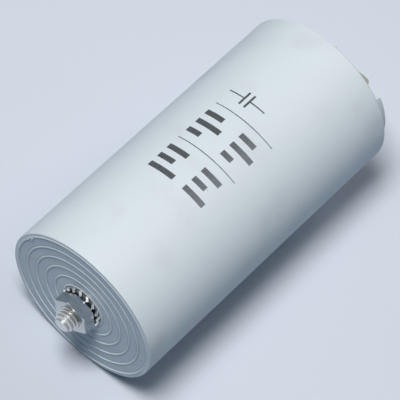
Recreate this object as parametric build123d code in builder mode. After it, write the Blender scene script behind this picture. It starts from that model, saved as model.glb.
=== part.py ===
from build123d import *
import os
from math import cos, radians, sin, tan

# Motor run capacitor: a metallised film winding potted in a moulded cup. A hex bolt caught in the base
# is the mounting stud, with a serrated washer and a nut, and a plug lid carries the blade terminals.
# It lies along Y: the crest of the base's outer ring is in the plane Y = 0, the stud points to -Y and the
# terminals to +Y. Z is up, and the lid's partition stands in the YZ plane. Millimetres and degrees.

# Case: a round cup with a thinner mouth that takes the lid
case_radius = 30.0
case_length = 119.2
case_wall = 2.0
ledge_width = 0.4
base_thickness = 4.0
base_edge_radius = 0.3
mouth_edge_radius = 0.5
cavity_corner = 2.0

# Base: concentric rings between flat steps that go deeper towards the stud
ring_margin = 1.6
ring_pitch = 4.0
ring_width = 0.9
ring_crest_width = 0.3
ring_height = 0.3
ring_drop_depth = 0.11
seat_margin = 0.5

# Mounting stud: an M8 x 14 hex bolt in a hexagonal pocket inside the base, with a long tapered tip
stud_radius = 4.0
stud_reach = 4.6
stud_tip_depth = 1.4
stud_taper_share = 0.47
thread_depth = 0.4
hex_flats = 13.0
hex_chamfer_angle = 30.0
hex_chamfer_width = 0.6
head_height = 5.3
head_turn = 0.0
insert_clearance = 0.05
boss_wall = 3.5
boss_height = 4.0

# Serrated lock washer: a flat ring with twisted teeth
washer_clearance = 0.2
washer_ring_width = 1.7
washer_thickness = 0.8
tooth_count = 16
tooth_start_share = 0.5
tooth_width = 1.82
tooth_length = 1.6
tooth_twist = 45.0
tooth_root_depth = 0.5
tooth_neck = 0.3
tooth_root_width_share = 0.8
tooth_root_thickness_share = 0.55

# Nut: a low M8 nut, chamfered on both ends
nut_height = 4.4
nut_turn = 44.7
nut_countersink = 0.7
thread_clearance = 0.05

# Lid: a plug on the ledge of the mouth, with two shields and a partition between the poles
lid_clearance = 0.1
lid_thickness = 3.4
lid_depth = 0.6
shield_height = 4.3
shield_inset = 1.5
shield_wall = 1.6
shield_sweep = 79.0
shield_corner = 1.8
shield_edge = 0.3
partition_height = 1.45
partition_thickness = 1.7
pad_height = 1.0
pad_margin = 0.8

# Terminals: one strip for each pole, bent up into two quick-connect blades
blade_width = 6.3
blade_thickness = 0.8
blade_height = 11.2
blade_spacing = 16.2
blade_bend_radius = 0.8
blade_tip_radius = 1.6
blade_hole_radius = 0.9
blade_hole_depth = 4.6
terminal_offset = 9.7

# Rivets and the solder tags that they hold under the lid
rivet_radius = 1.6
rivet_head_radius = 2.8
rivet_head_height = 1.0
rivet_head_edge = 0.6
rivet_tail_height = 0.8
rivet_clearance = 0.1
tag_width = 6.0
tag_length = 14.0
tag_thickness = 0.5

# Winding: a film roll on a hollow core, with sprayed metal on both ends
winding_gap = 1.2
winding_cover = 3.2
core_radius = 5.0
core_wall = 1.5
spray_thickness = 1.0
winding_standoff = 3.0

# Leads and potting
lead_radius = 1.0
lead_bend_radius = 2.2
lead_foot_share = 0.6
resin_headspace = 6.0

cut_overrun = 1.0
full_turn = 360.0

# Radii
cavity_radius = case_radius - case_wall
mouth_radius = cavity_radius + ledge_width
lid_radius = mouth_radius - lid_clearance
shield_outer_radius = lid_radius - shield_inset
shield_inner_radius = shield_outer_radius - shield_wall
thread_pitch_radius = stud_radius - thread_depth
stud_tip_radius = stud_radius - stud_tip_depth
hex_corner_radius = hex_flats / 2 / cos(radians(full_turn / 12))
hex_chamfer_radius = hex_corner_radius - hex_chamfer_width
boss_radius = hex_flats / 2 + boss_wall
washer_bore_radius = stud_radius + washer_clearance
washer_ring_radius = washer_bore_radius + washer_ring_width
tooth_neck_radius = washer_ring_radius + tooth_neck
washer_radius = tooth_neck_radius + tooth_length
ring_outer_radius = case_radius - ring_margin
ring_count = 1 + int((ring_outer_radius - washer_radius - seat_margin) / ring_pitch)
winding_radius = cavity_radius - winding_gap
lead_foot = core_radius + lead_foot_share * (winding_radius - core_radius)

# Places along Y
lid_top = case_length - lid_depth
lid_bottom = lid_top - lid_thickness
head_top = base_thickness + head_height
seat_depth = ring_height + (ring_count - 1) * ring_drop_depth
washer_height = tooth_width * sin(radians(tooth_twist)) + washer_thickness * cos(radians(tooth_twist))
washer_middle = seat_depth - washer_height / 2
nut_back = seat_depth - washer_height
nut_front = nut_back - nut_height
stud_tip = nut_front - stud_reach
stud_taper = stud_tip + stud_taper_share * stud_reach
pad_top = lid_top + pad_height
strip_top = pad_top + blade_thickness
blade_tip = case_length + blade_height
tag_bottom = lid_bottom - tag_thickness
spray_base = head_top + winding_standoff
winding_base = spray_base + spray_thickness
resin_top = lid_bottom - resin_headspace
spray_top = resin_top - winding_cover
winding_top = spray_top - spray_thickness
tag_reach = tag_length - tag_width


def across(height):
    """The plane square to the capacitor's axis at this Y, with x along +Z and y along +X."""
    return Plane(origin=(0, height, 0), x_dir=(0, 0, 1), z_dir=(0, 1, 0))


def ring_floor(index):
    """The depth of the flat step just inside a base ring, counted from the outermost ring inwards."""
    return ring_height + index * ring_drop_depth


def ring_points(index):
    """One base ring's half section from its inner foot to its outer foot, as (radius, depth)."""
    middle = ring_outer_radius - index * ring_pitch
    crest = index * ring_drop_depth
    return [
        (middle - ring_width / 2, ring_floor(index)),
        (middle - ring_crest_width / 2, crest),
        (middle + ring_crest_width / 2, crest),
        (middle + ring_width / 2, ring_floor(index - 1)),
    ]


def trim_hex(start, end, start_chamfered, end_chamfered):
    """Cuts the corners of a hexagonal prism between two places on the axis to a shallow cone."""
    drop = hex_chamfer_width * tan(radians(hex_chamfer_angle))
    inward = drop if end > start else -drop
    outline = [(0, start)]
    if start_chamfered:
        outline += [(hex_chamfer_radius, start), (hex_corner_radius, start + inward)]
    else:
        outline += [(hex_corner_radius, start)]
    if end_chamfered:
        outline += [(hex_corner_radius, end - inward), (hex_chamfer_radius, end)]
    else:
        outline += [(hex_corner_radius, end)]
    outline += [(0, end)]
    with BuildSketch(Plane.XY) as envelope:
        with BuildLine():
            Polyline(*outline, close=True)
        make_face()
    revolve(envelope.sketch, axis=Axis.Y, mode=Mode.INTERSECT)


def tooth_plane(turn, distance, twist):
    """The plane square to a washer tooth, at this distance from the axis, turned by its twist."""
    outward = (sin(radians(turn)), 0, cos(radians(turn)))
    level = cos(radians(twist))
    slant = (outward[2] * level, -sin(radians(twist)), -outward[0] * level)
    origin = (distance * outward[0], washer_middle, distance * outward[2])
    return Plane(origin=origin, x_dir=slant, z_dir=outward)


# Case
case_outline = [(0, seat_depth)]
for ring in reversed(range(ring_count)):
    case_outline += ring_points(ring)
case_outline += [
    (case_radius, ring_floor(-1)),
    (case_radius, case_length),
    (mouth_radius, case_length),
    (mouth_radius, lid_bottom),
    (cavity_radius, lid_bottom),
    (cavity_radius, base_thickness + cavity_corner),
    (cavity_radius - cavity_corner, base_thickness),
    (0, base_thickness),
]
with BuildPart() as case:
    with BuildSketch(Plane.XY):
        with BuildLine():
            Polyline(*case_outline, close=True)
        make_face()
    revolve(axis=Axis.Y)
    rims = case.edges().filter_by(GeomType.CIRCLE)
    outer_rims = rims.group_by(SortBy.RADIUS)[-1].sort_by(Axis.Y)
    fillet(outer_rims[0], radius=base_edge_radius)
    fillet(outer_rims[-1], radius=mouth_edge_radius)
    with BuildSketch(across(base_thickness)):
        Circle(boss_radius)
    extrude(amount=boss_height)
    with BuildSketch(across(base_thickness)):
        RegularPolygon(hex_flats / 2 + insert_clearance, 6, major_radius=False, rotation=head_turn)
    extrude(amount=boss_height, mode=Mode.SUBTRACT)
    with BuildSketch(across(-cut_overrun)):
        Circle(stud_radius + insert_clearance)
    extrude(amount=base_thickness + 2 * cut_overrun, mode=Mode.SUBTRACT)
case.part.label = "case"

# Mounting stud, drawn at the pitch line where the nut's thread meshes with its own
stud_outline = [
    (0, base_thickness),
    (stud_radius, base_thickness),
    (stud_radius, nut_back),
    (thread_pitch_radius, nut_back),
    (thread_pitch_radius, nut_front),
    (stud_radius, nut_front),
    (stud_radius, stud_taper),
    (stud_tip_radius, stud_tip),
    (0, stud_tip),
]
with BuildPart() as mounting_stud:
    with BuildSketch(across(base_thickness)):
        RegularPolygon(hex_flats / 2, 6, major_radius=False, rotation=head_turn)
    extrude(amount=head_height)
    trim_hex(base_thickness, head_top, False, True)
    with BuildSketch(Plane.XY):
        with BuildLine():
            Polyline(*stud_outline, close=True)
        make_face()
    revolve(axis=Axis.Y)
mounting_stud.part.label = "mounting_stud"

# Lock washer: each tooth is lofted from inside the ring through a short neck, where it twists, to its tip
with BuildPart() as lock_washer:
    with BuildSketch(across(washer_middle - washer_thickness / 2)):
        Circle(washer_ring_radius)
        Circle(washer_bore_radius, mode=Mode.SUBTRACT)
    extrude(amount=washer_thickness)
    for tooth in range(tooth_count):
        turn = full_turn * (tooth + tooth_start_share) / tooth_count
        with BuildSketch(tooth_plane(turn, washer_ring_radius - tooth_root_depth, 0)):
            Rectangle(tooth_width * tooth_root_width_share, washer_thickness * tooth_root_thickness_share)
        with BuildSketch(tooth_plane(turn, tooth_neck_radius, tooth_twist)):
            Rectangle(tooth_width, washer_thickness)
        with BuildSketch(tooth_plane(turn, washer_radius, tooth_twist)):
            Rectangle(tooth_width, washer_thickness)
        loft(ruled=True)
lock_washer.part.label = "lock_washer"

# Nut
with BuildPart() as hex_nut:
    with BuildSketch(across(nut_front)):
        RegularPolygon(hex_flats / 2, 6, major_radius=False, rotation=nut_turn)
    extrude(amount=nut_height)
    trim_hex(nut_front, nut_back, True, True)
    with BuildSketch(across(nut_front)):
        Circle(thread_pitch_radius + thread_clearance)
    extrude(amount=nut_height, mode=Mode.SUBTRACT)
    bore_rims = hex_nut.edges().filter_by(GeomType.CIRCLE).group_by(SortBy.RADIUS)[0]
    chamfer(bore_rims, length=nut_countersink)
hex_nut.part.label = "hex_nut"

# Lid
pad_length = blade_spacing + blade_thickness + 2 * pad_margin
pad_width = blade_width + 2 * pad_margin
poles = {"left": -terminal_offset, "right": terminal_offset}
shield_top = case_length + shield_height
shield_outline = [
    (shield_inner_radius, lid_top),
    (shield_outer_radius, lid_top),
    (shield_outer_radius, shield_top),
    (shield_inner_radius, shield_top),
]
with BuildPart() as terminal_lid:
    with BuildSketch(across(lid_bottom)):
        Circle(lid_radius)
    extrude(amount=lid_thickness)
    for start in (-shield_sweep / 2, full_turn / 2 - shield_sweep / 2):
        with BuildSketch(Plane.XY.rotated((0, start, 0))):
            with BuildLine():
                Polyline(*shield_outline, close=True)
            make_face()
        revolve(axis=Axis.Y, revolution_arc=shield_sweep)
    shield_ends = terminal_lid.edges().filter_by(GeomType.LINE).group_by(Axis.Y)[-1]
    fillet(shield_ends, radius=shield_corner)
    shield_tops = terminal_lid.faces().group_by(Axis.Y)[-1]
    chamfer(shield_tops.edges().filter_by(GeomType.CIRCLE), length=shield_edge)
    with BuildSketch(across(lid_top)):
        Circle(lid_radius)
        Rectangle(2 * lid_radius, partition_thickness, mode=Mode.INTERSECT)
    extrude(amount=lid_depth + partition_height)
    with BuildSketch(across(lid_top)):
        with Locations(*[(0, place) for place in poles.values()]):
            Rectangle(pad_length, pad_width)
    extrude(amount=pad_height)
    with BuildSketch(across(lid_bottom)):
        with Locations(*[(0, place) for place in poles.values()]):
            Circle(rivet_radius + rivet_clearance)
    extrude(amount=lid_thickness + pad_height, mode=Mode.SUBTRACT)
terminal_lid.part.label = "terminal_lid"

# Terminals, rivets and solder tags, one of each for each pole
rivet_top = strip_top + rivet_head_height
rivet_outline = [
    (0, rivet_top),
    (rivet_head_radius - rivet_head_edge, rivet_top),
    (rivet_head_radius, rivet_top - rivet_head_edge),
    (rivet_head_radius, strip_top),
    (rivet_radius, strip_top),
    (rivet_radius, tag_bottom),
    (rivet_head_radius, tag_bottom),
    (rivet_head_radius, tag_bottom - rivet_tail_height),
    (0, tag_bottom - rivet_tail_height),
]
pole_pieces = []
for side, place in poles.items():
    with BuildPart() as terminal:
        with BuildSketch(Plane(origin=(place - blade_width / 2, 0, 0), x_dir=(0, 0, -1), z_dir=(1, 0, 0))):
            with Locations((0, (pad_top + blade_tip) / 2)):
                Rectangle(blade_spacing + blade_thickness, blade_tip - pad_top)
            with Locations((0, (strip_top + blade_tip) / 2)):
                Rectangle(blade_spacing - blade_thickness, blade_tip - strip_top, mode=Mode.SUBTRACT)
            outer_bends, inner_bends = vertices().group_by(Axis.Y)[:2]
            fillet(outer_bends, radius=blade_bend_radius + blade_thickness)
            fillet(inner_bends, radius=blade_bend_radius)
        extrude(amount=blade_width)
        tips = terminal.edges().filter_by(Axis.Z).group_by(Axis.Y)[-1]
        fillet(tips, radius=blade_tip_radius)
        with BuildSketch(Plane(origin=(place, blade_tip - blade_hole_depth, 0))):
            Circle(blade_hole_radius)
        extrude(amount=blade_spacing, both=True, mode=Mode.SUBTRACT)
        with BuildSketch(across(pad_top)):
            with Locations((0, place)):
                Circle(rivet_radius + rivet_clearance)
        extrude(amount=blade_thickness, mode=Mode.SUBTRACT)
    terminal.part.label = f"terminal_{side}"

    with BuildPart() as rivet:
        with BuildSketch(Plane(origin=(place, 0, 0))):
            with BuildLine():
                Polyline(*rivet_outline, close=True)
            make_face()
        revolve(axis=Axis((place, 0, 0), (0, 1, 0)))
    rivet.part.label = f"rivet_{side}"

    with BuildPart() as tag:
        with BuildSketch(across(tag_bottom)):
            with Locations((tag_reach / 2, place)):
                SlotOverall(tag_length, tag_width)
            with Locations((0, place)):
                Circle(rivet_radius + rivet_clearance, mode=Mode.SUBTRACT)
        extrude(amount=tag_thickness)
    tag.part.label = f"solder_tag_{side}"
    pole_pieces += [terminal.part, rivet.part, tag.part]

# Winding
with BuildPart() as winding_core:
    with BuildSketch(across(spray_base)):
        Circle(core_radius)
        Circle(core_radius - core_wall, mode=Mode.SUBTRACT)
    extrude(amount=spray_top - spray_base)
winding_core.part.label = "winding_core"

with BuildPart() as film_winding:
    with BuildSketch(across(winding_base)):
        Circle(winding_radius)
        Circle(core_radius, mode=Mode.SUBTRACT)
    extrude(amount=winding_top - winding_base)
film_winding.part.label = "film_winding"

end_sprays = []
for end, height in (("base", spray_base), ("top", winding_top)):
    with BuildPart() as spray:
        with BuildSketch(across(height)):
            Circle(winding_radius)
            Circle(core_radius, mode=Mode.SUBTRACT)
        extrude(amount=spray_thickness)
    spray.part.label = f"end_spray_{end}"
    end_sprays += [spray.part]

# Leads: one comes up through the core from the base end, and one from the top end
base_run = spray_base - lead_radius
top_run = spray_top + lead_radius
base_route = [
    (-lead_foot, base_run, 0),
    (0, base_run, 0),
    (0, top_run + lead_bend_radius, 0),
    (poles["left"], top_run + lead_bend_radius, tag_reach),
    (poles["left"], tag_bottom, tag_reach),
]
top_route = [
    (lead_foot, top_run, tag_reach),
    (poles["right"], top_run, tag_reach),
    (poles["right"], tag_bottom, tag_reach),
]
leads = []
for end, route in (("base", base_route), ("top", top_route)):
    with BuildPart() as lead:
        with BuildLine() as path:
            FilletPolyline(*route, radius=lead_bend_radius)
        with BuildSketch(Plane(origin=path.line @ 0, z_dir=path.line % 0)):
            Circle(lead_radius)
        sweep(path=path.line)
    lead.part.label = f"lead_{end}"
    leads += [lead.part]

# Potting resin: fills the case round the winding to just under the lid
with BuildPart() as resin_fill:
    with BuildSketch(across(base_thickness)):
        Circle(cavity_radius)
    extrude(amount=resin_top - base_thickness)
    floor_edge = resin_fill.edges().filter_by(GeomType.CIRCLE).sort_by(Axis.Y)[0]
    chamfer(floor_edge, length=cavity_corner)
    with BuildSketch(across(base_thickness)):
        Circle(boss_radius)
    extrude(amount=boss_height, mode=Mode.SUBTRACT)
    for inner_piece in (mounting_stud.part, winding_core.part, film_winding.part, *end_sprays, *leads):
        add(inner_piece, mode=Mode.SUBTRACT)
resin_fill.part.label = "resin_fill"

os.makedirs("parts", exist_ok=True)
outer_pieces = [case.part, mounting_stud.part, lock_washer.part, hex_nut.part, terminal_lid.part]
inner_pieces = [winding_core.part, film_winding.part, *end_sprays, *leads, resin_fill.part]
for piece in outer_pieces + pole_pieces + inner_pieces:
    export_step(piece, f"parts/{piece.label}.step")
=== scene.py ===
"""Dresses the motor run capacitor: finishes, threaded stud, moulding flash, and the studio round it."""

from math import ceil, cos, pi, radians, sin

import bmesh
import bpy
from mathutils import Euler, Matrix, Vector


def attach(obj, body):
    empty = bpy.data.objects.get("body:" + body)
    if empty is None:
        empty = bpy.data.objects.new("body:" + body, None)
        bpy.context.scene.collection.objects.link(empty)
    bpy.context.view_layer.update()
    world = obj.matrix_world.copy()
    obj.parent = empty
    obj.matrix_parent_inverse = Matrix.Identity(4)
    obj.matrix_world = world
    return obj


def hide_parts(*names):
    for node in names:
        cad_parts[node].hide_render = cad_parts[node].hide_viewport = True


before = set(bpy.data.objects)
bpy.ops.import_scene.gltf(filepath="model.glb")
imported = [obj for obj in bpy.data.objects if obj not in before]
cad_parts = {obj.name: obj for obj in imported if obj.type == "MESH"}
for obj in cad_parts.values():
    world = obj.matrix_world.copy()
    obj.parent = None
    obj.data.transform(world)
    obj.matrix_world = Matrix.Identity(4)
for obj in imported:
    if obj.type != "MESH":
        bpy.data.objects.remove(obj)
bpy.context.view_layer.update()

# Sizes of the capacitor, in millimetres, as the solids have them
mm = 0.001
case_radius = 30.0
ring_outer_radius = 28.4
ring_pitch = 4.0
ring_half_width = 0.45
base_depth = 1.5
washer_radius = 7.8
stud_radius = 4.0
stud_head_base = 4.0
stud_head_height = 5.3
stud_head_flats = 13.0
stud_head_bevel = 0.5
stud_taper = -7.84
stud_tip = -10.0
stud_tip_radius = 2.6

# Thread of the stud: a coarse M8 thread. Edges on its profile are shares of a pitch from the crest's middle
thread_pitch = 1.25
thread_root_radius = 3.23
thread_root_edge = 0.4
thread_crest_edge = 0.08
thread_crest_flat = 0.04
thread_crest_drop = 0.06
thread_flank_cuts = 2
thread_steps = 48
thread_run_in = 1.5

# Moulding flash: a ragged edge on the inner side of the outer ring, and its reach step by step round it
flash_start = -67.0
flash_step = 0.9
flash_reach = (0.02, 0.3, 0.12, 0.42, 0.36, 0.1, 0.05, 0.1, 0.5, 0.72, 0.55, 0.2, 0.12, 0.05)
flash_inset = 0.135
flash_sink = 0.04
flash_lift = 0.6
flash_thickness = 0.14

# Meshes: points closer than the weld are one, and edges that turn by more than the sharp angle are sharp
weld = 0.001
cut_tolerance = 0.0001
sharp_angle = 32.0

# Print on the barrel, in millimetres along the case and round its girth from the top: a circuit symbol,
# two lines, and rows of two bars, each row with its place along the case and the ends of its bars
print_start = -13.5
print_middle = 1.5
print_end = 12.0
symbol_place = 82.0
wire_width = 0.5
wire_length = 6.1
plate_height = 6.0
plate_width = 0.8
plate_gap = 1.4
line_places = (75.0, 56.4)
line_width = 0.35
bar_height = 2.2
bar_rows = (
    (70.2, -6.0, 8.0),
    (65.6, -3.5, 11.0),
    (61.0, -8.0, 6.0),
    (51.6, -5.0, 9.5),
    (47.0, -7.0, 7.0),
    (42.4, -3.0, 10.5),
)

# Ink of the print: how far its edges wander, how deep it goes, and where and how much it is rubbed
ink_wander = 0.1
ink_skin = 0.3
rub_start = -4.0
rub_end = 12.0
rub_share = 0.16
mottle_share = 0.14

# Painted shade, in millimetres: from the middle of a ring of the base, below the crest of the thread, up
# from the stud's tip, and in from the tips of the washer's teeth
groove_start = 0.36
groove_full = 0.585
foot_start = 0.27
foot_full = ring_half_width
foot_fade = 0.5
foot_end = 0.9
base_fade = 0.2
thread_shade_start = 0.15
thread_shade_full = 0.55
tip_unshaded_end = 0.02
tip_shade_start = 0.1
tooth_shade_start = 0.3
tooth_shade_full = 0.9
tooth_shade_wander = 0.4

# Studio, in metres and watts
floor_half_size = 3.0
lamp_size = 0.7
lamp_aim = Vector((0, 0.05, 0))
lamps = (
    ("overhead_lamp", (-0.2, -0.42, 2.0), 38.0),
    ("back_lamp", (0.2, 1.7, 0.8), 9.0),
)

# Camera: its place, its turn in degrees, and its lens
camera_place = Vector((213.543, -352.718, 812.72))
camera_turn = (28.5993, -8.0976, 41.9145)
camera_lens = 252.0
camera_film = 36.0


def colour(red, green, blue):
    """A display colour, 0 to 255, as the shader's light values."""
    parts = [part / 255 for part in (red, green, blue)]
    light = [part / 12.92 if part <= 0.04045 else ((part + 0.055) / 1.055) ** 2.4 for part in parts]
    return (*light, 1.0)


def dimmed(tone, share):
    """The same colour with this share of its light."""
    return (*[part * share for part in tone[:3]], 1.0)


class Wire:
    """One output socket in a node tree: arithmetic on it adds Math nodes."""

    def __init__(self, paint, socket):
        self.paint = paint
        self.socket = socket

    def math(self, operation, *values):
        return self.paint.node("ShaderNodeMath", {"operation": operation}, dict(enumerate((self, *values))))

    def __add__(self, other):
        return self.math("ADD", other)

    def __radd__(self, other):
        return self.math("ADD", other)

    def __sub__(self, other):
        return self.math("SUBTRACT", other)

    def __rsub__(self, other):
        return self.paint.node("ShaderNodeMath", {"operation": "SUBTRACT"}, {0: other, 1: self})

    def __mul__(self, other):
        return self.math("MULTIPLY", other)

    def __rmul__(self, other):
        return self.math("MULTIPLY", other)

    def __truediv__(self, other):
        return self.math("DIVIDE", other)


class Paint:
    """The nodes of one finish. Places on the piece are in millimetres."""

    def __init__(self, tree):
        self.tree = tree

    def node(self, kind, settings=None, sockets=None, output=0):
        """Adds a node: its settings first, then values or wires for its sockets."""
        made = self.tree.nodes.new(kind)
        for name, value in (settings or {}).items():
            setattr(made, name, value)
        for name, value in (sockets or {}).items():
            if isinstance(value, Wire):
                self.tree.links.new(value.socket, made.inputs[name])
            else:
                made.inputs[name].default_value = value
        return Wire(self, made.outputs[output])

    def place(self):
        """The place on the piece, in millimetres."""
        metres = self.node("ShaderNodeTexCoord", output="Object")
        return self.node("ShaderNodeVectorMath", {"operation": "SCALE"}, {"Vector": metres, "Scale": 1 / mm})

    def split(self, vector):
        """The three parts of a vector."""
        return [self.node("ShaderNodeSeparateXYZ", None, {"Vector": vector}, part) for part in "XYZ"]

    def radius(self, vector):
        """The distance of a place from the axis of the case."""
        x, _, z = self.split(vector)
        return (x * x + z * z).math("SQRT")

    def noise(self, vector, size, detail=2.0):
        """Soft mottle whose blotches are about this size, from 0 to 1."""
        sockets = {"Vector": vector, "Scale": 1 / size, "Detail": detail}
        return self.node("ShaderNodeTexNoise", None, sockets, "Fac")

    def stretch(self, vector, scale):
        """The same places, stretched so that a pattern on them runs in streaks."""
        return self.node("ShaderNodeVectorMath", {"operation": "MULTIPLY"}, {0: vector, 1: scale})

    def ease(self, wire, start, end):
        """A smooth step from 0 at start to 1 at end."""
        sockets = {"Value": wire, "From Min": start, "From Max": end}
        return self.node("ShaderNodeMapRange", {"interpolation_type": "SMOOTHSTEP"}, sockets)

    def blend(self, share, one, other):
        """One colour at share 0, the other at share 1."""
        return self.node("ShaderNodeMix", {"data_type": "RGBA"}, {0: share, 6: one, 7: other}, 2)

    def layer(self, tone, mark, share, over):
        """A colour with another laid over it, at this share where the mark is 1."""
        return self.blend(mark * share, tone, over)

    def specks(self, vector, spacing, size):
        """Scattered specks with soft edges, 1 inside each."""
        sockets = {"Vector": vector, "Scale": 1 / spacing}
        distance = self.node("ShaderNodeTexVoronoi", None, sockets, "Distance")
        core = 0.4 * size
        return 1 - self.ease(distance * spacing, core, size)

    def seen(self):
        """1 where the eye meets this, directly or in metal or glass, and 0 where it only casts light."""
        kinds = ("Camera", "Glossy", "Transmission")
        rays = [self.node("ShaderNodeLightPath", output=f"Is {kind} Ray") for kind in kinds]
        return rays[0].math("MAXIMUM", rays[1]).math("MAXIMUM", rays[2])

    def bump(self, height, depth):
        """A relief of this depth, in millimetres."""
        sockets = {"Strength": 1.0, "Distance": depth * mm, "Height": height}
        return self.node("ShaderNodeBump", None, sockets, "Normal")


def new_finish(name, constants):
    """A material with these constants on its shader, its paint, and the place on the piece."""
    material = bpy.data.materials.new(name)
    material.use_nodes = True
    shader = material.node_tree.nodes["Principled BSDF"]
    for socket, value in constants.items():
        shader.inputs[socket].default_value = value
    paint = Paint(material.node_tree)
    return material, paint, paint.place()


def apply_paint(material, wires):
    """Feeds the shader's sockets from these wires."""
    tree = material.node_tree
    for socket, wire in wires.items():
        tree.links.new(wire.socket, tree.nodes["Principled BSDF"].inputs[socket])


def moulded_plastic(paint, place, base, dust):
    """The colour, roughness and relief of satin moulded plastic with faint smudges and specks."""
    smudge = paint.ease(paint.noise(place, size=16.0, detail=4.0), start=0.5, end=0.75)
    speck = paint.specks(place, spacing=7.0, size=0.3)
    speck_brown = colour(112, 104, 96)
    tone = paint.blend(paint.noise(place, size=45.0), base, dimmed(base, share=0.95))
    tone = paint.layer(tone, smudge, share=0.22, over=dust)
    tone = paint.layer(tone, speck, share=0.35, over=speck_brown)
    roughness = 0.4 + paint.noise(place, size=9.0) * 0.08 + smudge * 0.06
    grain = paint.noise(place, size=0.35, detail=3.0) + paint.noise(place, size=3.5) * 2.0
    return tone, roughness, grain


def base_with_painted_shade(paint, place, clean):
    """The case's colour with painted shade on the base: a grey between its rings and a darker grey at their
    feet.
    """
    groove_shade_grey = colour(190, 202, 212)
    foot_shade_grey = colour(128, 138, 148)
    y = paint.split(place)[1]
    radius = paint.radius(place)
    on_base = 1 - paint.ease(y, base_depth - base_fade, base_depth)
    inside_rim = on_base * (1 - paint.ease(radius, ring_outer_radius - ring_half_width, ring_outer_radius))
    past_ring = (radius - ring_outer_radius + ring_pitch / 2).math("FLOORED_MODULO", ring_pitch)
    from_ring = (past_ring - ring_pitch / 2).math("ABSOLUTE")
    patches = paint.noise(place, size=5.0)
    # Painted shade: the base between the rings is greyed, and the feet of the rings are darker still, so the
    # rings read lighter
    groove_shade = inside_rim * paint.ease(from_ring, groove_start, groove_full)
    tone = paint.blend(groove_shade * (0.5 + 0.3 * patches), clean, groove_shade_grey)
    foot_shade = paint.ease(from_ring, foot_start, foot_full) * (1 - paint.ease(from_ring, foot_fade, foot_end))
    return paint.blend(foot_shade * inside_rim * (0.35 + 0.4 * patches), tone, foot_shade_grey)


def print_areas():
    """The printed areas: middle along the case, height along it, and start and end round the girth."""
    near_plate = print_start + wire_length
    near_plate_end = near_plate + plate_width
    far_plate = near_plate_end + plate_gap
    far_plate_end = far_plate + plate_width
    areas = [
        (symbol_place, wire_width, print_start, near_plate),
        (symbol_place, plate_height, near_plate, near_plate_end),
        (symbol_place, plate_height, far_plate, far_plate_end),
        (symbol_place, wire_width, far_plate_end, far_plate_end + wire_length),
    ]
    for place in line_places:
        areas.append((place, line_width, print_start, print_end))
    for place, first_end, second_end in bar_rows:
        areas.append((place, bar_height, print_start, first_end))
        areas.append((place, bar_height, print_middle, second_end))
    return areas


def printed_ink(paint, place):
    """How much ink lies on the barrel, with wandering edges and a rubbed side."""
    x, y, z = paint.split(place)
    wander = (paint.noise(place, size=0.5) - 0.5) * ink_wander
    girth = x.math("ARCTAN2", z) * case_radius + wander
    length = y + wander
    ink = None
    for middle, height, start, end in print_areas():
        across = girth.math("COMPARE", (start + end) / 2, (end - start) / 2)
        area = across * length.math("COMPARE", middle, height / 2)
        ink = area if ink is None else ink.math("MAXIMUM", area)
    on_barrel = paint.radius(place).math("GREATER_THAN", case_radius - ink_skin)
    rubbed = paint.ease(girth, rub_start, rub_end) * rub_share + paint.noise(place, size=0.8) * mottle_share
    return ink * on_barrel * (1 - rubbed)


def case_finish():
    """Cool white plastic, with print on the barrel and painted shade on the base."""
    material, paint, place = new_finish("white_case_plastic", {"IOR": 1.49})
    clean, roughness, grain = moulded_plastic(paint, place, colour(220, 229, 233), colour(186, 190, 190))
    ink = printed_ink(paint, place)
    ink_black = colour(36, 42, 47)
    tone = paint.blend(ink, base_with_painted_shade(paint, place, clean), ink_black)
    relief = paint.bump(grain, depth=0.012)
    apply_paint(material, {"Base Color": tone, "Roughness": roughness + ink * 0.1, "Normal": relief})
    return material


def lid_finish():
    """The lid's plastic: the same white, a little duller and dustier."""
    material, paint, place = new_finish("white_lid_plastic", {"IOR": 1.49})
    tone, roughness, grain = moulded_plastic(paint, place, colour(214, 222, 226), colour(176, 178, 176))
    relief = paint.bump(grain, depth=0.015)
    apply_paint(material, {"Base Color": tone, "Roughness": roughness + 0.05, "Normal": relief})
    return material


def plating(paint, place, base, stain, stain_share, polish, streak):
    """The colour, roughness and relief of plated metal: clouds, fine streaks, and darker stains."""
    cloud = paint.noise(place, size=2.2, detail=3.0)
    stained = paint.ease(paint.noise(place, size=4.0, detail=5.0), start=0.55, end=0.8)
    tone = paint.layer(base, cloud, share=0.5, over=dimmed(base, share=0.82))
    tone = paint.layer(tone, stained, share=stain_share, over=stain)
    lines = paint.noise(paint.stretch(place, streak), size=1.0, detail=3.0)
    roughness = polish + lines * 0.12 + stained * 0.15
    return tone, roughness, paint.bump(lines, depth=0.006)


def plated_metal(name, base, stain, stain_share, polish, streak):
    """Plated metal with nothing else on it."""
    material, paint, place = new_finish(name, {"Metallic": 1.0})
    tone, roughness, relief = plating(paint, place, base, stain, stain_share, polish, streak)
    apply_paint(material, {"Base Color": tone, "Roughness": roughness, "Normal": relief})
    return material


def stud_finish(stain):
    """Bright zinc on the crests of the stud's thread, with painted shade in its roots."""
    material, paint, place = new_finish("zinc_stud", {"Metallic": 1.0})
    tone, roughness, relief = plating(
        paint, place, colour(232, 233, 232), stain, stain_share=0.3, polish=0.26, streak=(1.5, 1.5, 1.5)
    )
    y = paint.split(place)[1]
    taper = (stud_radius - stud_tip_radius) / (stud_taper - stud_tip)
    crest = stud_radius + (y - stud_taper).math("MINIMUM", 0.0) * taper
    # Painted shade: darker in the roots of the thread, and none on the end of the tip
    root = paint.ease(crest - paint.radius(place), thread_shade_start, thread_shade_full)
    root = root * paint.ease(y, stud_tip + tip_unshaded_end, stud_tip + tip_shade_start)
    root_shade_grey = colour(74, 72, 68)
    tone = paint.layer(tone, root, share=0.45, over=root_shade_grey)
    apply_paint(material, {"Base Color": tone, "Roughness": roughness + root * 0.15, "Normal": relief})
    return material


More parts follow.
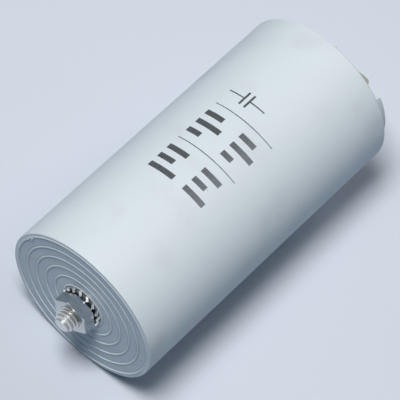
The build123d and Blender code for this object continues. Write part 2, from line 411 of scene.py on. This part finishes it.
def washer_finish():
    """Bright zinc on the ends of the washer's teeth, with painted shade on their flanks and between them."""
    material, paint, place = new_finish("zinc_washer", {"Metallic": 1.0})
    x, _, z = paint.split(place)
    radius = paint.radius(place)
    worn = paint.noise(place, size=0.9, detail=3.0)
    # Painted shade: dark deep between the teeth, and on flanks whose surface does not face outward
    reach = radius + (worn - 0.5) * tooth_shade_wander
    deep_shade = 1 - paint.ease(reach, washer_radius - tooth_shade_full, washer_radius - tooth_shade_start)
    facing_x, _, facing_z = paint.split(paint.node("ShaderNodeTexCoord", output="Normal"))
    flank_shade = 1 - paint.ease((facing_x * x + facing_z * z) / radius, start=0.3, end=0.7)
    washer_shade = deep_shade.math("MAXIMUM", flank_shade * 0.15)
    washer_shade_black = colour(34, 34, 35)
    tone = paint.layer(colour(250, 251, 251), worn, share=0.4, over=colour(228, 230, 228))
    tone = paint.layer(tone, washer_shade, share=0.95, over=washer_shade_black)
    relief = paint.bump(worn, depth=0.01)
    apply_paint(material, {"Base Color": tone, "Roughness": 0.44 + washer_shade * 0.1, "Normal": relief})
    return material


def film_finish():
    """The roll of metallised film: fine rings of turns on its ends, faint bands along it."""
    material, paint, place = new_finish("metallised_film", {"IOR": 1.5})
    ring_spacing = 0.6
    turns = (paint.radius(place) * 2 * pi / ring_spacing).math("SINE") * 0.5 + 0.5
    bands = paint.noise(paint.stretch(place, (0.05, 0.6, 0.05)), size=1.0)
    tone = paint.blend(turns * 0.4 + bands * 0.4, colour(196, 190, 170), colour(146, 144, 140))
    roughness = 0.28 + bands * 0.15
    metal = 0.4 + 0.3 * turns
    apply_paint(material, {"Base Color": tone, "Roughness": roughness, "Metallic": metal})
    return material


def poured_resin():
    """Potting resin: milky, with soft clouds and small bubbles."""
    material, paint, place = new_finish("potting_resin", {"IOR": 1.52, "Coat Weight": 0.2})
    clouds = paint.noise(place, size=11.0, detail=4.0)
    bubbles = paint.specks(place, spacing=3.2, size=0.5)
    bubble_brown = colour(150, 140, 120)
    tone = paint.blend(clouds, colour(206, 198, 178), colour(184, 174, 152))
    tone = paint.layer(tone, bubbles, share=0.6, over=bubble_brown)
    relief = paint.bump(bubbles, depth=0.08)
    apply_paint(material, {"Base Color": tone, "Roughness": 0.3 + clouds * 0.1, "Normal": relief})
    return material


def plain_plastic(name, base, worn):
    """Plastic of an inner piece: a mottled colour and a fine drawn grain along the case."""
    material, paint, place = new_finish(name, {"IOR": 1.48})
    drawn = paint.noise(paint.stretch(place, (2.0, 0.15, 2.0)), size=1.0, detail=3.0)
    tone = paint.blend(drawn, base, worn)
    relief = paint.bump(drawn, depth=0.02)
    apply_paint(material, {"Base Color": tone, "Roughness": 0.42 + drawn * 0.15, "Normal": relief})
    return material


def finish_piece(work, name, material):
    """Makes a mesh in millimetres into a piece that rides on the capacitor."""
    bmesh.ops.remove_doubles(work, verts=work.verts, dist=weld)
    bmesh.ops.recalc_face_normals(work, faces=work.faces)
    bmesh.ops.scale(work, vec=(mm, mm, mm), verts=work.verts)
    mesh = bpy.data.meshes.new(name)
    work.to_mesh(mesh)
    work.free()
    mesh.shade_smooth()
    mesh.set_sharp_from_angle(angle=radians(sharp_angle))
    mesh.materials.append(material)
    piece = bpy.data.objects.new(name, mesh)
    bpy.context.collection.objects.link(piece)
    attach(piece, "root")
    return piece


def cut_flat(work, height, outward):
    """Cuts a shell square to the axis at this height, on the outward side, and caps it."""
    geometry = work.verts[:] + work.edges[:] + work.faces[:]
    plane = {"plane_co": (0, height, 0), "plane_no": (0, outward, 0)}
    bmesh.ops.bisect_plane(work, geom=geometry, dist=cut_tolerance, clear_outer=True, **plane)
    open_edges = [edge for edge in work.edges if edge.is_boundary]
    rim = [edge for edge in open_edges if all(abs(vertex.co.y - height) < weld for vertex in edge.verts)]
    bmesh.ops.holes_fill(work, edges=rim)


def rolled_thread(work):
    """The threaded shank: a profile spun into a helix, cut flat at both ends and tapered at its tip."""
    half_profile = (
        (0.5, thread_root_radius),
        (thread_root_edge, thread_root_radius),
        (thread_crest_edge, stud_radius - thread_crest_drop),
        (thread_crest_flat, stud_radius),
    )
    profile = [(0.5 - share, radius) for share, radius in half_profile]
    profile += [(0.5 + share, radius) for share, radius in reversed(half_profile)]
    start = stud_tip - thread_run_in * thread_pitch
    points = [work.verts.new((0, start + share * thread_pitch, radius)) for share, radius in profile]
    edges = [work.edges.new(pair) for pair in zip(points, points[1:])]
    flanks = [edges[1], edges[5]]
    bmesh.ops.subdivide_edges(work, edges=flanks, cuts=thread_flank_cuts)
    turns = ceil((stud_head_base - start) / thread_pitch)
    bmesh.ops.spin(
        work,
        geom=work.verts[:] + work.edges[:],
        cent=(0, 0, 0),
        axis=(0, 1, 0),
        dvec=(0, thread_pitch / thread_steps, 0),
        angle=2 * pi * turns,
        steps=thread_steps * turns,
    )
    bmesh.ops.remove_doubles(work, verts=work.verts, dist=weld)
    cut_flat(work, stud_tip, -1)
    cut_flat(work, stud_head_base, 1)
    for vertex in work.verts:
        down_taper = max(0.0, stud_taper - vertex.co.y) / (stud_taper - stud_tip)
        narrowing = 1 + down_taper * (stud_tip_radius / stud_radius - 1)
        vertex.co.x *= narrowing
        vertex.co.z *= narrowing


def hex_head(work):
    """The bolt's head inside the base, with a softened crown."""
    hexagon = bmesh.ops.create_circle(
        work,
        cap_ends=True,
        radius=stud_head_flats / 2 / sin(pi / 3),
        segments=6,
        matrix=Matrix.Translation((0, stud_head_base, 0)) @ Matrix.Rotation(pi / 2, 4, "X"),
    )
    bottom = {face for vertex in hexagon["verts"] for face in vertex.link_faces}
    raised = bmesh.ops.extrude_face_region(work, geom=list(bottom), use_keep_orig=True)["geom"]
    top = [part for part in raised if isinstance(part, bmesh.types.BMVert)]
    bmesh.ops.translate(work, vec=(0, stud_head_height, 0), verts=top)
    crown = [part for part in raised if isinstance(part, bmesh.types.BMEdge)]
    bmesh.ops.bevel(
        work,
        geom=crown,
        offset=stud_head_bevel,
        offset_type="OFFSET",
        affect="EDGES",
        segments=2,
        profile=0.5,
        material=-1,
    )


def threaded_stud(material):
    """The bolt caught in the base: a hex head inside it, and a shank with a rolled thread."""
    work = bmesh.new()
    rolled_thread(work)
    hex_head(work)
    piece = finish_piece(work, "threaded_stud", material)
    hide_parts("mounting_stud")


def moulding_flash(material):
    """A thin ragged edge of plastic that hangs from the crest of the base's outer ring."""
    work = bmesh.new()
    turns = [radians(flash_start + step * flash_step) for step in range(len(flash_reach))]
    root = ring_outer_radius - flash_inset
    crest = [work.verts.new((root * sin(turn), flash_sink, root * cos(turn))) for turn in turns]
    edges = [work.edges.new(pair) for pair in zip(crest, crest[1:])]
    bmesh.ops.extrude_edge_only(work, edges=edges)
    work.verts.ensure_lookup_table()
    for vertex, turn, reach in zip(work.verts[len(crest):], turns, flash_reach):
        radius = root - reach
        vertex.co = Vector((radius * sin(turn), flash_sink - reach * flash_lift, radius * cos(turn)))
    bmesh.ops.recalc_face_normals(work, faces=work.faces)
    bmesh.ops.solidify(work, geom=work.faces[:], thickness=flash_thickness)
    finish_piece(work, "moulding_flash", material)


# Finishes
white_case = case_finish()
white_lid = lid_finish()
zinc_stain = colour(120, 120, 112)
zinc_nut = plated_metal(
    "zinc_nut",
    colour(206, 210, 212),
    zinc_stain,
    stain_share=0.4,
    polish=0.16,
    streak=(0.4, 3.0, 0.4),
)
zinc_washer = washer_finish()
zinc_stud = stud_finish(zinc_stain)
brass_stain = colour(112, 92, 62)
tinned_blade = plated_metal(
    "tinned_brass_blade",
    colour(206, 201, 181),
    brass_stain,
    stain_share=0.45,
    polish=0.32,
    streak=(3.0, 0.3, 3.0),
)
brass_rivet = plated_metal(
    "brass_rivet",
    colour(190, 172, 128),
    brass_stain,
    stain_share=0.6,
    polish=0.24,
    streak=(1.0, 1.0, 1.0),
)
brass_tag = plated_metal(
    "tinned_brass_tag",
    colour(186, 176, 150),
    brass_stain,
    stain_share=0.6,
    polish=0.3,
    streak=(2.0, 2.0, 0.3),
)
sprayed_zinc = plated_metal(
    "sprayed_zinc",
    colour(158, 160, 160),
    zinc_stain,
    stain_share=0.6,
    polish=0.55,
    streak=(4.0, 4.0, 4.0),
)
core_plastic = plain_plastic("core_plastic", colour(206, 204, 196), colour(188, 186, 178))
lead_sleeve = plain_plastic("lead_sleeve", colour(150, 40, 36), colour(122, 30, 28))

node_finishes = {
    "case": white_case,
    "terminal_lid": white_lid,
    "mounting_stud": zinc_stud,
    "lock_washer": zinc_washer,
    "hex_nut": zinc_nut,
    "terminal_left": tinned_blade,
    "terminal_right": tinned_blade,
    "rivet_left": brass_rivet,
    "rivet_right": brass_rivet,
    "solder_tag_left": brass_tag,
    "solder_tag_right": brass_tag,
    "film_winding": film_finish(),
    "winding_core": core_plastic,
    "end_spray_base": sprayed_zinc,
    "end_spray_top": sprayed_zinc,
    "lead_base": lead_sleeve,
    "lead_top": lead_sleeve,
    "resin_fill": poured_resin(),
}
for name, material in node_finishes.items():
    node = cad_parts[name]
    node.data.materials.clear()
    node.data.materials.append(material)

# Pieces of the scene
threaded_stud(zinc_stud)
moulding_flash(white_case)

# Floor: pale to the eye, and darker and cooler in the light that it throws on the capacitor
work = bmesh.new()
under_case = Matrix.Translation((0, 0, -case_radius * mm))
bmesh.ops.create_grid(work, x_segments=1, y_segments=1, size=floor_half_size, matrix=under_case)
floor_mesh = bpy.data.meshes.new("floor")
work.to_mesh(floor_mesh)
work.free()
floor_material, floor_paint, floor_place = new_finish("pale_floor", {"Roughness": 0.9})
mottle = floor_paint.noise(floor_place, size=120.0)
pale_tone = floor_paint.blend(mottle, colour(212, 218, 227), colour(207, 214, 224))
floor_tone = floor_paint.blend(floor_paint.seen(), colour(118, 140, 164), pale_tone)
apply_paint(floor_material, {"Base Color": floor_tone})
floor_mesh.materials.append(floor_material)
floor = bpy.data.objects.new("floor", floor_mesh)
bpy.context.collection.objects.link(floor)

# Light: a soft lamp overhead, a weak one behind the terminals, and a dim room whose pale walls show to
# the eye and in the metal
for name, place, watts in lamps:
    lamp_data = bpy.data.lights.new(name, "AREA")
    lamp_data.shape = "SQUARE"
    lamp_data.size = lamp_size
    lamp_data.energy = watts
    lamp = bpy.data.objects.new(name, lamp_data)
    lamp.location = place
    lamp.rotation_euler = (lamp_aim - lamp.location).to_track_quat("-Z", "Y").to_euler()
    lamp.visible_camera = False
    bpy.context.collection.objects.link(lamp)

world = bpy.data.worlds.new("studio")
world.use_nodes = True
bpy.context.scene.world = world
room = Paint(world.node_tree)
height = room.split(room.node("ShaderNodeTexCoord", output="Generated"))[2]
upward = room.ease(height, start=0.5, end=0.85)
wall = room.blend(upward, colour(222, 228, 234), colour(120, 126, 132))
room_light = room.blend(room.seen(), colour(44, 54, 66), wall)
background = world.node_tree.nodes["Background"]
world.node_tree.links.new(room_light.socket, background.inputs["Color"])

# Camera
camera_data = bpy.data.cameras.new("camera")
camera_data.sensor_width = camera_film
camera_data.lens = camera_lens
camera = bpy.data.objects.new("camera", camera_data)
bpy.context.collection.objects.link(camera)
turn = Euler([radians(angle) for angle in camera_turn]).to_matrix().to_4x4()
camera.matrix_world = Matrix.Translation(camera_place * mm) @ turn
bpy.context.scene.camera = camera

bpy.context.scene.view_settings.view_transform = "Standard"
